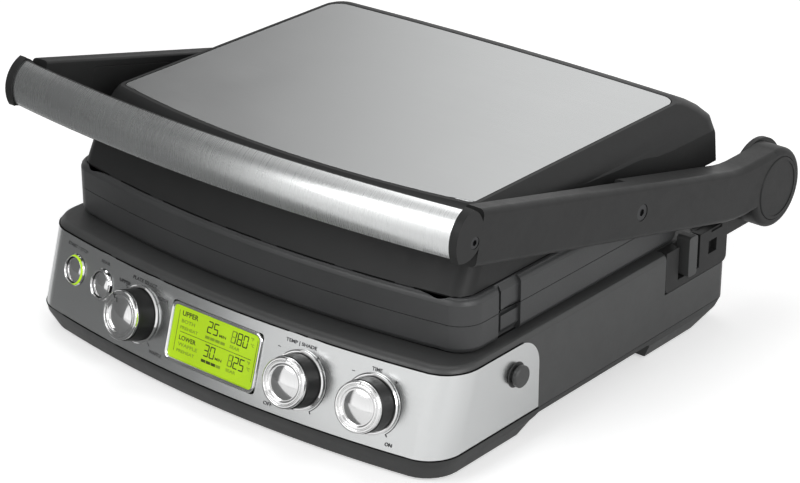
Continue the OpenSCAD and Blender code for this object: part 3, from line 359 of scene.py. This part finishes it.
def bar(x0, y0, x1, y1, width=0.5):
    """A straight stroke, cut short enough to follow the panel's bow."""
    a, b = Vector((x0, y0)), Vector((x1, y1))
    side = (b - a).normalized().orthogonal() * width / 2
    cuts = max(1, int((b - a).length / CUT))
    points = []
    for i in range(cuts + 1):
        p = a.lerp(b, i / cuts)
        points += [tuple(p - side), tuple(p + side)]
    return points, strip(cuts)


def arc(r, a0, a1, width):
    """A round stroke of radius r from angle a0 to a1."""
    steps = max(2, int(abs(a1 - a0) / CUT))
    points = []
    for i in range(steps + 1):
        t = rad(a0 + (a1 - a0) * i / steps)
        points += [(k * math.cos(t), k * math.sin(t)) for k in (r - width / 2, r + width / 2)]
    return points, strip(steps)


def tick(angle, r0, r1, width=0.5):
    """A stroke that points at the centre."""
    c, d = math.cos(rad(angle)), math.sin(rad(angle))
    return bar(r0 * c, r0 * d, r1 * c, r1 * d, width)


def block(x, y0, y1, width=3.9):
    return [(x, y0), (x + width, y0), (x + width, y1), (x, y1)], [(0, 1, 2, 3)]


SEGMENTS = {"0": "abcdef", "1": "bc", "2": "abged", "3": "abgcd", "5": "afgcd", "8": "abcdefg",
            "ghost": "adefg"}
SLANT, SPLIT, STROKE = 0.07, 0.12, 0.85     # a figure's slope, gap between segments and segment width


def digit(which, x, y, w, h):
    """One seven-segment figure with its lower left corner at (x, y)."""
    m, t = h / 2, STROKE
    rows = {"a": (0, h - t, w, h), "g": (0, m - t / 2, w, m + t / 2), "d": (0, 0, w, t)}
    cols = {"f": (0, m, t, h), "b": (w - t, m, w, h), "e": (0, 0, t, m), "c": (w - t, 0, w, m)}
    out = []
    for s in SEGMENTS[which]:
        if s in rows:
            a, b, c, d = rows[s]
            e = (d - b) / 2
            shape = [(a + e + SPLIT, b), (c - e - SPLIT, b), (c - SPLIT, (b + d) / 2),
                     (c - e - SPLIT, d), (a + e + SPLIT, d), (a + SPLIT, (b + d) / 2)]
        else:
            a, b, c, d = cols[s]
            e = (c - a) / 2
            shape = [(a, b + e + SPLIT), ((a + c) / 2, b + SPLIT), (c, b + e + SPLIT),
                     (c, d - e - SPLIT), ((a + c) / 2, d - SPLIT), (a, d - e - SPLIT)]
        out.append(([(x + px + SLANT * py, y + py) for px, py in shape], [tuple(range(6))]))
    return out


INK_LIFT, INK_THICK = 0.14, 0.05        # the top of the ink above the panel's face, and its thickness


def in_order(elements, place):
    """Sorts new vertices or faces by where they are, because Blender's own order changes from run to run."""
    for i, e in enumerate(sorted(elements, key=lambda e: tuple(place(e)))):
        e.index = i
    elements.sort()


def printed(name, shapes, where, material, lift=INK_LIFT, bowed=True):
    """Thin closed layer of ink or display segments that lies on the panel or in the window."""
    b = bmesh.new()
    for points, faces in shapes:
        verts = [b.verts.new((x * MM, y * MM, (lift - (x * x / (2 * BOW_R) if bowed else 0)) * MM))
                 for x, y in points]
        for f in faces:
            b.faces.new([verts[i] for i in f])
    bmesh.ops.recalc_face_normals(b, faces=b.faces)
    for f in b.faces:
        if f.normal.z < 0:
            f.normal_flip()
    grown = bmesh.ops.extrude_face_region(b, geom=b.faces[:], use_keep_orig=True)
    for v in grown["geom"]:
        if isinstance(v, bmesh.types.BMVert):
            v.co.z -= INK_THICK * MM
    in_order(b.verts, lambda v: v.co)
    in_order(b.faces, lambda f: f.calc_center_median())
    bmesh.ops.recalc_face_normals(b, faces=b.faces)
    add_solid(name, b, where, (material,), "base")


INK = plastic("panel_ink", (0.05, 0.05, 0.052), rough=0.5, grain=3000.0, depth=4e-6, vary=0.1, spec=0.3)
SEGMENT = plastic("display_segment", (0.055, 0.075, 0.012), rough=0.35, grain=3000.0, depth=2e-6, spec=0.3)
GHOST = plastic("display_ghost", (0.25, 0.38, 0.02), rough=0.35, grain=3000.0, depth=2e-6, spec=0.3)

# Millimetres from each control's centre. A word gives left, right, bottom and top.
printed("marks_start", [word("START / STOP", -13, 10.1, 14.5, 16.8)], panel_frame(START_X, BUTTON_Z), INK)
printed("marks_sear", [word("SEAR", -4.8, 4.8, 14.6, 16.6)], panel_frame(SEAR_X, BUTTON_Z), INK)
printed("marks_select", [
    word("PLATE SELECT", -12, 12, 21.0, 23.5), word("UPPER", -24.8, -13.0, 15.1, 17.4),
    word("BOTH", 14.3, 24.2, 15.1, 17.3), word("WAFFLE", 15.5, 27.5, -21.6, -19.2),
    tick(140, 20.2, 22.6), tick(38, 20.2, 22.8), tick(-50, 20.2, 22.8)],
    panel_frame(SELECT_X, CONTROL_Z), INK)
printed("marks_temperature", [
    word("TEMP | SHADE", -15, 9.2, 21.0, 24.0), bar(-20.4, 16.8, -18.2, 16.8),
    bar(10.2, 17.3, 12.4, 17.3), bar(11.3, 16.2, 11.3, 18.4), word("OFF", -24.6, -17.6, -22.9, -20.5),
    arc(20.7, 48, -57, 0.45), tick(-57, 20.5, 22.6, 0.6)], panel_frame(TEMP_X, CONTROL_Z), INK)
printed("marks_time", [
    word("TIME", -3.7, 3.8, 20.5, 23.0), bar(-17.7, 16.8, -15.5, 16.8),
    bar(13.6, 17.4, 15.8, 17.4), bar(14.7, 16.3, 14.7, 18.5), word("ON", 13.3, 18.4, -23.4, -21.0),
    arc(20.7, 46, -52, 0.45), tick(-52, 20.5, 22.6, 0.6)], panel_frame(TIME_X, CONTROL_Z), INK)

# The display: rules, dark words and figures, then the faint segments that aren't lit.
WINDOW = panel_frame(DISPLAY_X, DISPLAY_Z)
DARK_LIFT, FAINT_LIFT, RULE = -0.74, -0.75, 0.35
dark = [bar(-33.1, -12.8, -33.1, 14.7, RULE), bar(35.9, -12.8, 35.9, 14.7, RULE),
        bar(-30.2, 0.95, 32.9, 0.95, RULE)]
for entry in (("UPPER", -30.5, -16.4, 11.6, 15.0), ("LOWER", -30.1, -15.0, -4.4, -1.3),
              ("MIN", 3.3, 9.3, 7.2, 9.0), ("MIN", 3.0, 8.9, -8.3, -6.5)):
    dark.append(word(*entry))
for entry in (("2", -7.8, 6.9, 4.3, 8.1), ("5", -2.6, 6.9, 4.3, 8.1), ("1", 13.3, 6.7, 4.3, 8.3),
              ("8", 18.4, 6.7, 4.3, 8.3), ("0", 23.5, 6.7, 4.3, 8.3), ("3", -7.5, -8.8, 4.3, 8.2),
              ("0", -2.4, -8.8, 4.3, 8.2), ("1", 13.7, -9.0, 4.2, 8.3), ("2", 18.6, -9.0, 4.2, 8.3),
              ("5", 23.5, -9.0, 4.2, 8.3)):
    dark += digit(*entry)
dark += [block(x, -12.8, -10.9) for x in (-8.3, -3.9, 0.5)]
faint = []
for entry in (("BOTH", -30.3, -18.4, 7.0, 9.4), ("PREHEAT", -30.6, -14.7, 2.8, 4.9),
              ("WAFFLE", -30.2, -12.8, -8.5, -6.1), ("PREHEAT", -30.5, -14.5, -12.7, -10.6),
              ("SEAR", 13.5, 22.1, 3.1, 5.2), ("SEAR", 13.5, 22.1, -12.5, -10.4),
              ("\u00b0F", 29.9, 32.6, 13.2, 15.3), ("\u00b0C", 30.5, 33.3, 9.2, 11.4),
              ("\u00b0F", 29.9, 32.6, -2.6, -0.5), ("\u00b0C", 30.5, 33.3, -6.6, -4.4)):
    faint.append(word(*entry))
faint += [block(x, 3.0, 4.9) for x in (-8.2, -3.7, 0.8, 5.3)] + [block(4.9, -12.8, -10.9)]
faint += digit("ghost", 13.3, 6.7, 4.3, 8.3) + digit("ghost", 13.7, -9.0, 4.2, 8.3)
printed("display_segments", dark, WINDOW, SEGMENT, DARK_LIFT, bowed=False)
printed("display_ghosts", faint, WINDOW, GHOST, FAINT_LIFT, bowed=False)


# ---------------------------------------------------------------- turned caps and buttons
SIDES, MOST, CAP_STEEL = 96, 0.45, (0.84, 0.84, 0.84)


def circle(b, r, z):
    """A ring of vertices about the axis, or one vertex on it."""
    if r == 0:
        return [b.verts.new((0, 0, z * MM))]
    turns = [2 * math.pi * i / SIDES for i in range(SIDES)]
    return [b.verts.new((r * MM * math.cos(a), r * MM * math.sin(a), z * MM)) for a in turns]


def loft(b, rings):
    """Joins each ring to the next by smooth faces, and returns these row by row."""
    rows = []
    for p, q in zip(rings, rings[1:]):
        count = max(len(p), len(q))
        row = []
        for i in range(count):
            j = (i + 1) % count
            if len(p) == 1:
                corners = (p[0], q[i], q[j])
            elif len(q) == 1:
                corners = (p[i], q[0], p[j])
            else:
                corners = (p[i], q[i], q[j], p[j])
            row.append(b.faces.new(corners))
            row[-1].smooth = True
        rows.append(row)
    bmesh.ops.recalc_face_normals(b, faces=b.faces)
    return rows


def rounded(points, r, steps=3):
    """A polyline with its inner corners rounded, each over at most MOST of its sides."""
    out = [points[0]]
    for a, b, c in zip(points, points[1:], points[2:]):
        a, b, c = Vector(a), Vector(b), Vector(c)
        u, v = (a - b), (c - b)
        k = min(r, u.length * MOST, v.length * MOST)
        p, q = b + u.normalized() * k, b + v.normalized() * k
        for i in range(steps + 1):
            t = i / steps
            out.append(tuple(p.lerp(b, t).lerp(b.lerp(q, t), t)))
    return out + [points[-1]]


def dome(r, edge, rise, steps):
    """Profile of a shallow dome, from the axis to radius r."""
    return [(r * i / steps, edge + rise * (1 - (i / steps) ** 2)) for i in range(steps + 1)]


# Profiles are (radius, height above the panel) in millimetres, from the axis round to the axis.
FACE_R, FACE_EDGE, FACE_RISE = 11.9, TOP - 2.1, 2.2
CAP = dome(FACE_R, FACE_EDGE, FACE_RISE, 10) + rounded([
    (FACE_R, FACE_EDGE), (FACE_R + 0.25, TOP - 0.35), (13.6, TOP - 0.25), (13.8, TOP - 0.85),
    (14.25, TOP - 0.85), (14.5, TOP - 0.1), (15.7, TOP - 0.15), (16.45, TOP - 0.9), (16.5, TOP - 2.9),
    (16.2, TOP - 3.3), (0.0, TOP - 3.3)], 0.3)[1:]
BUTTON = dome(7.8, 0.7, 1.5, 8) + rounded([
    (7.8, 0.7), (8.2, 0.65), (8.6, 0.4), (8.6, -3.6), (0.0, -3.6)], 0.3)[1:]
RING_IN = 14.4                          # where the cap's bright outer ring begins


def pointer(b, angle, start, width):
    """A dark inlay from radius start across the bright ring, just proud of it."""
    stops = [(15.7, TOP - 0.12), (16.35, TOP - 0.85)]
    if start > RING_IN:
        stops = [(start, TOP - 0.13)] + stops
    else:
        stops = [(r, FACE_EDGE + FACE_RISE * (1 - (r / FACE_R) ** 2)) for r in (start, FACE_R - 0.1)] \
            + [(FACE_R + 0.25, TOP - 0.3), (RING_IN, TOP - 0.15)] + stops
    turn = Matrix.Rotation(rad(angle), 4, "Z")
    section = ((-1, 0.05), (1, 0.05), (1, -0.35), (-1, -0.35))
    rows = [[b.verts.new(turn @ Vector((side * width / 2 * MM, r * MM, (z + rise) * MM)))
             for side, rise in section] for r, z in stops]
    faces = [b.faces.new(rows[0][::-1]), b.faces.new(rows[-1])]
    for p, q in zip(rows, rows[1:]):
        faces += [b.faces.new((p[i], p[(i + 1) % 4], q[(i + 1) % 4], q[i])) for i in range(4)]
    bmesh.ops.recalc_face_normals(b, faces=faces)
    for f in faces:
        f.material_index = 1


def turned(name, profile, x, z, body, stands_for, inlay=None):
    """A solid of revolution about the panel's normal at (x, z), in turned metal."""
    where = panel_frame(x, z)
    materials = [spun("spun_" + name, CAP_STEEL, rough=0.1, centre=where.translation,
                      axis=where.to_3x3() @ Vector((0, 0, 1)))]
    b = bmesh.new()
    loft(b, [circle(b, *row) for row in profile])
    if inlay:
        pointer(b, *inlay)
        materials.append(made["black_plastic"])
    add_solid("visual_" + name, b, where, materials, body, stands_for)


for name, x, inlay in (("select", SELECT_X, (35.0, 9.0, 0.95)), ("temperature", TEMP_X, (0.0, 15.0, 0.6)),
                       ("time", TIME_X, (0.0, 15.0, 0.6))):     # an inlay's angle, start and width
    turned(name + "_cap", CAP, x, CONTROL_Z, name + "_control", name + "_knob_cap", inlay)
for name, x in (("start", START_X), ("sear", SEAR_X)):
    turned(name + "_button", BUTTON, x, BUTTON_Z, name + "_control", name + "_button")

# ---------------------------------------------------------------- rings round the buttons, display frame
RING = rounded([(8.72, -0.5), (8.95, 2.1), (9.15, 2.4), (9.4, 2.15), (9.8, 0.5), (9.8, -0.5)], 0.15)
RING_OUT = 9.2                          # from this radius on the ring has its second material


def collar(name, x, outer, stands_for=None):
    """A ring round a button: bright inside, with its own material outside."""
    b = bmesh.new()
    rings = [circle(b, *row) for row in RING]
    for (r, z), row in zip(RING, loft(b, rings + rings[:1])):
        for f in row:
            f.material_index = int(r >= RING_OUT)
    add_solid(name, b, panel_frame(x, BUTTON_Z), (made["chrome"], outer), "base", stands_for)


collar("visual_start_ring", START_X, made["green_light"], "start_light_ring")
collar("visual_sear_ring", SEAR_X, made["chrome"])

FRAME_W, FRAME_H, FRAME_R = 40.1, 20.05, 5.6    # half width, half height and corner radius
FRAME_ROWS = ((0.0, -2.8), (0.0, 0.1), (0.15, 0.5), (0.5, 0.78), (1.1, 0.85), (1.7, 0.7), (2.2, 0.2),
              (2.45, -0.4), (2.55, -0.78), (2.55, -2.8))       # (inset, height)


def rounded_loop(w, h, r, steps=7):
    out = []
    for cx, cy, a in ((w - r, h - r, 0), (r - w, h - r, 90), (r - w, r - h, 180), (w - r, r - h, 270)):
        turns = [rad(a + 90 * i / steps) for i in range(steps + 1)]
        out += [(cx + r * math.cos(k), cy + r * math.sin(k)) for k in turns]
    return out


b = bmesh.new()
rings = [[b.verts.new((x * MM, y * MM, z * MM))
          for x, y in rounded_loop(FRAME_W - inset, FRAME_H - inset, FRAME_R - inset)]
         for inset, z in FRAME_ROWS]
loft(b, rings + rings[:1])
add_solid("visual_display_frame", b, WINDOW, (made["chrome"],), "base", "display_bezel")

# ---------------------------------------------------------------- return spring, a copy with its own mesh
coil = bpy.data.objects.new("visual_release_spring", nodes["release_spring"].data.copy())
scene.collection.objects.link(coil)
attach(coil, "base")
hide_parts("release_spring")
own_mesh(coil)

# ---------------------------------------------------------------- painted shade: near-black lines in the gaps along the sheet edges
# Near-black material for the painted shade in the seams.
GAP_SHADE = plastic("shadow_gap", (0.004, 0.004, 0.004), rough=0.85, grain=1500.0, depth=1e-5, vary=0.1, spec=0.1)
EDGE_BAND = 0.4                         # millimetres from the edge in which a node's points count


def paint_gap_shade(name, points, radius, body, closed):
    """A near-black tube of that radius in millimetres along a chain of points in metres: painted shade in a
    gap.
    """
    c = bpy.data.curves.new(name, "CURVE")
    c.dimensions, c.bevel_depth, c.bevel_resolution, c.use_fill_caps = "3D", radius * MM, 2, True
    line = c.splines.new("POLY")
    line.points.add(len(points) - 1)
    for p, q in zip(line.points, points):
        p.co = (*q, 1.0)
    line.use_cyclic_u = closed
    add_object(name, c, (GAP_SHADE,), body)


def rim(name, top, centre, half, steps, push, drop):
    """The outermost points of a node's top or bottom edge, one for each step of angle about centre (x, y),
    moved out by push and up by drop millimetres."""
    co = [v.co for v in nodes[name].data.vertices]
    edge = max(c.z for c in co) if top else min(c.z for c in co)
    best = {}
    for c in co:
        if abs(c.z - edge) < EDGE_BAND * MM:
            d = Vector((c.x, c.y)) - Vector(centre)
            turn = math.degrees(math.atan2(d.x, -d.y))
            k = round((turn + half) / (2 * half) * steps)
            if 0 <= k <= steps and (k not in best or d.length > best[k][0]):
                best[k] = (d.length, c.copy(), d.normalized())
    points = [best[k][1:] for k in sorted(best)]
    return [Vector((c.x + d.x * push * MM, c.y + d.y * push * MM, c.z + drop * MM)) for c, d in points]


FRONT, CORE, LID = (0.0, -0.079), (0.0, -0.025), (0.0, -0.009)      # centres in metres
# Painted shade: dark tubes laid into the seams between panel, housing, plates, lid and deck.
for name, part, top, centre, half, steps, push, drop, radius, body in (
        ("panel_top_gap", "front_panel", True, FRONT, 90, 140, 0.1, 0.35, 0.55, "base"),
        ("panel_bottom_gap", "front_panel", False, FRONT, 90, 140, 0.1, -0.3, 0.5, "base"),
        ("plate_parting_gap", "upper_plate", False, CORE, 180, 240, -0.45, -0.2, 0.42, "lid"),
        ("lid_rim_gap", "lid_shell", False, CORE, 180, 240, -0.35, -0.1, 0.55, "lid"),
        ("deck_gap", "lower_plate", False, CORE, 180, 240, -0.1, 0.0, 0.6, "base"),
        ("lid_plate_gap", "lid_cover_plate", True, LID, 180, 220, 0.25, -0.35, 0.4, "lid")):
    paint_gap_shade(name, rim(part, top, centre, half, steps, push, drop), radius, body, closed=half == 180)

# ---------------------------------------------------------------- floor
FLOOR_SIZE, FLOOR_Y = 14.0, 2.0
FLOOR_GLOW, MIRRORED = 0.5, 0.25        # its glow, and the share of it that mirror rays see
m, t, b, _ = blank("pale_floor")
b.inputs["Base Color"].default_value = (0.86, 0.86, 0.86, 1)
b.inputs["Roughness"].default_value = 0.9
rays = node(t, "ShaderNodeLightPath").outputs
seen = calc(t, "MAXIMUM", rays["Is Camera Ray"], calc(t, "MULTIPLY", rays["Is Glossy Ray"], MIRRORED))
seen = calc(t, "MAXIMUM", seen, rays["Is Transmission Ray"])
strength = span(t, seen, lo=0.0, hi=FLOOR_GLOW, start=0.0, stop=1.0)
glow = node(t, "ShaderNodeEmission", {"Color": (1, 1, 1, 1), "Strength": strength}).outputs[0]
both = node(t, "ShaderNodeAddShader", {0: b.outputs[0], 1: glow}).outputs[0]
t.links.new(both, t.nodes["Material Output"].inputs["Surface"])
bpy.ops.mesh.primitive_plane_add(size=FLOOR_SIZE, location=(0, FLOOR_Y, 0))
floor = bpy.context.object
floor.name = "floor"
floor.data.materials.append(m)

# ---------------------------------------------------------------- grey card that only mirror rays see
CARD_FOOT, CARD_HEIGHT = 0.002, 1.3     # metres; its corners on the floor follow as x and y
m, t, b, pos = blank("grey_card")
t.links.new(blend(t, noise(t, pos, scale=3.0), (0.2, 0.205, 0.205), (0.24, 0.24, 0.24)),
            b.inputs["Base Color"])
b.inputs["Roughness"].default_value = 0.9
b.inputs["Specular IOR Level"].default_value = 0.1
near, front, left, back = (0.17, -0.215), (-0.47, -0.84), (-1.3, -0.1), (-0.3, -0.19)
data = bpy.data.meshes.new("card")
data.from_pydata([(*p, CARD_FOOT) for p in (near, front, left, back)]
                 + [(*p, CARD_HEIGHT) for p in (front, left)], [], [(0, 1, 2, 3), (1, 2, 5, 4)])
card = add_object("reflection_card", data, (m,))
card.visible_camera = card.visible_diffuse = card.visible_shadow = card.visible_transmission = False

# ---------------------------------------------------------------- world, white to the camera
DIFFUSE_LEVEL = 0.42
world = bpy.data.worlds.new("studio")
scene.world = world
world.use_nodes = True
w = world.node_tree
bg = w.nodes["Background"]
way = node(w, "ShaderNodeTexCoord").outputs["Generated"]
rays = node(w, "ShaderNodeLightPath").outputs
up = node(w, "ShaderNodeSeparateXYZ", {0: way}).outputs["Z"]
side = node(w, "ShaderNodeSeparateXYZ", {0: way}).outputs["X"]
# What mirror rays see from right to left: bright, then a dark band, then bright again.
right = span(w, side, lo=0.03, hi=1.22, start=-0.69, stop=-0.56, curve="SMOOTHSTEP")
far_left = span(w, side, lo=0.0, hi=0.9, start=-0.72, stop=-0.84, curve="SMOOTHSTEP")
mirrored = calc(w, "MAXIMUM", right, far_left)
sky = blend(w, span(w, up, lo=0.0, hi=1.0, start=0.0, stop=0.9), (0.9, 0.9, 0.9), (0.55, 0.55, 0.55))
mirror = calc(w, "MAXIMUM", rays["Is Glossy Ray"], rays["Is Transmission Ray"])
level = node(w, "ShaderNodeMix", {0: mirror, 2: DIFFUSE_LEVEL, 3: mirrored}).outputs[0]
w.links.new(blend(w, rays["Is Camera Ray"], sky, (1.0, 1.0, 1.0)), bg.inputs["Color"])
w.links.new(calc(w, "MAXIMUM", level, rays["Is Camera Ray"]), bg.inputs["Strength"])

# ---------------------------------------------------------------- lamps: place, aim, watts, width and height
for name, place, aim, power, size, size_y in (
        ("soft_right", (1.9, -0.7, 1.1), (0, 0, 0.08), 18.0, 1.2, 1.2),
        ("soft_front", (-0.5, -2.0, 1.6), (0, 0, 0.1), 16.0, 1.4, 0.9),
        ("soft_top", (-0.4, 0.6, 2.2), (0, 0, 0.1), 14.0, 1.8, 1.4)):
    lamp = bpy.data.lights.new(name, "AREA")
    lamp.energy, lamp.shape, lamp.size, lamp.size_y = power, "RECTANGLE", size, size_y
    o = bpy.data.objects.new(name, lamp)
    scene.collection.objects.link(o)
    o.location = place
    o.rotation_euler = (Vector(aim) - Vector(place)).to_track_quat("-Z", "Y").to_euler()

# ---------------------------------------------------------------- camera, solved from the photo
PHOTO_W, FOCAL_PX, SENSOR = 800, 2493.69, 36.0
AZIMUTH, ELEVATION, DISTANCE = rad(40.215), rad(25.048), 1.6813
GOAL = Vector((0.02578, -0.03218, 0.07148))
cam = bpy.data.objects.new("camera", bpy.data.cameras.new("camera"))
scene.collection.objects.link(cam)
cam.data.sensor_width = SENSOR
cam.data.lens = FOCAL_PX / PHOTO_W * SENSOR
cam.data.clip_end = 50.0
cam.location = GOAL + DISTANCE * Vector((math.sin(AZIMUTH) * math.cos(ELEVATION),
                                         -math.cos(AZIMUTH) * math.cos(ELEVATION), math.sin(ELEVATION)))
cam.rotation_euler = (GOAL - cam.location).to_track_quat("-Z", "Y").to_euler()
scene.camera = cam
scene.view_settings.view_transform = "Standard"
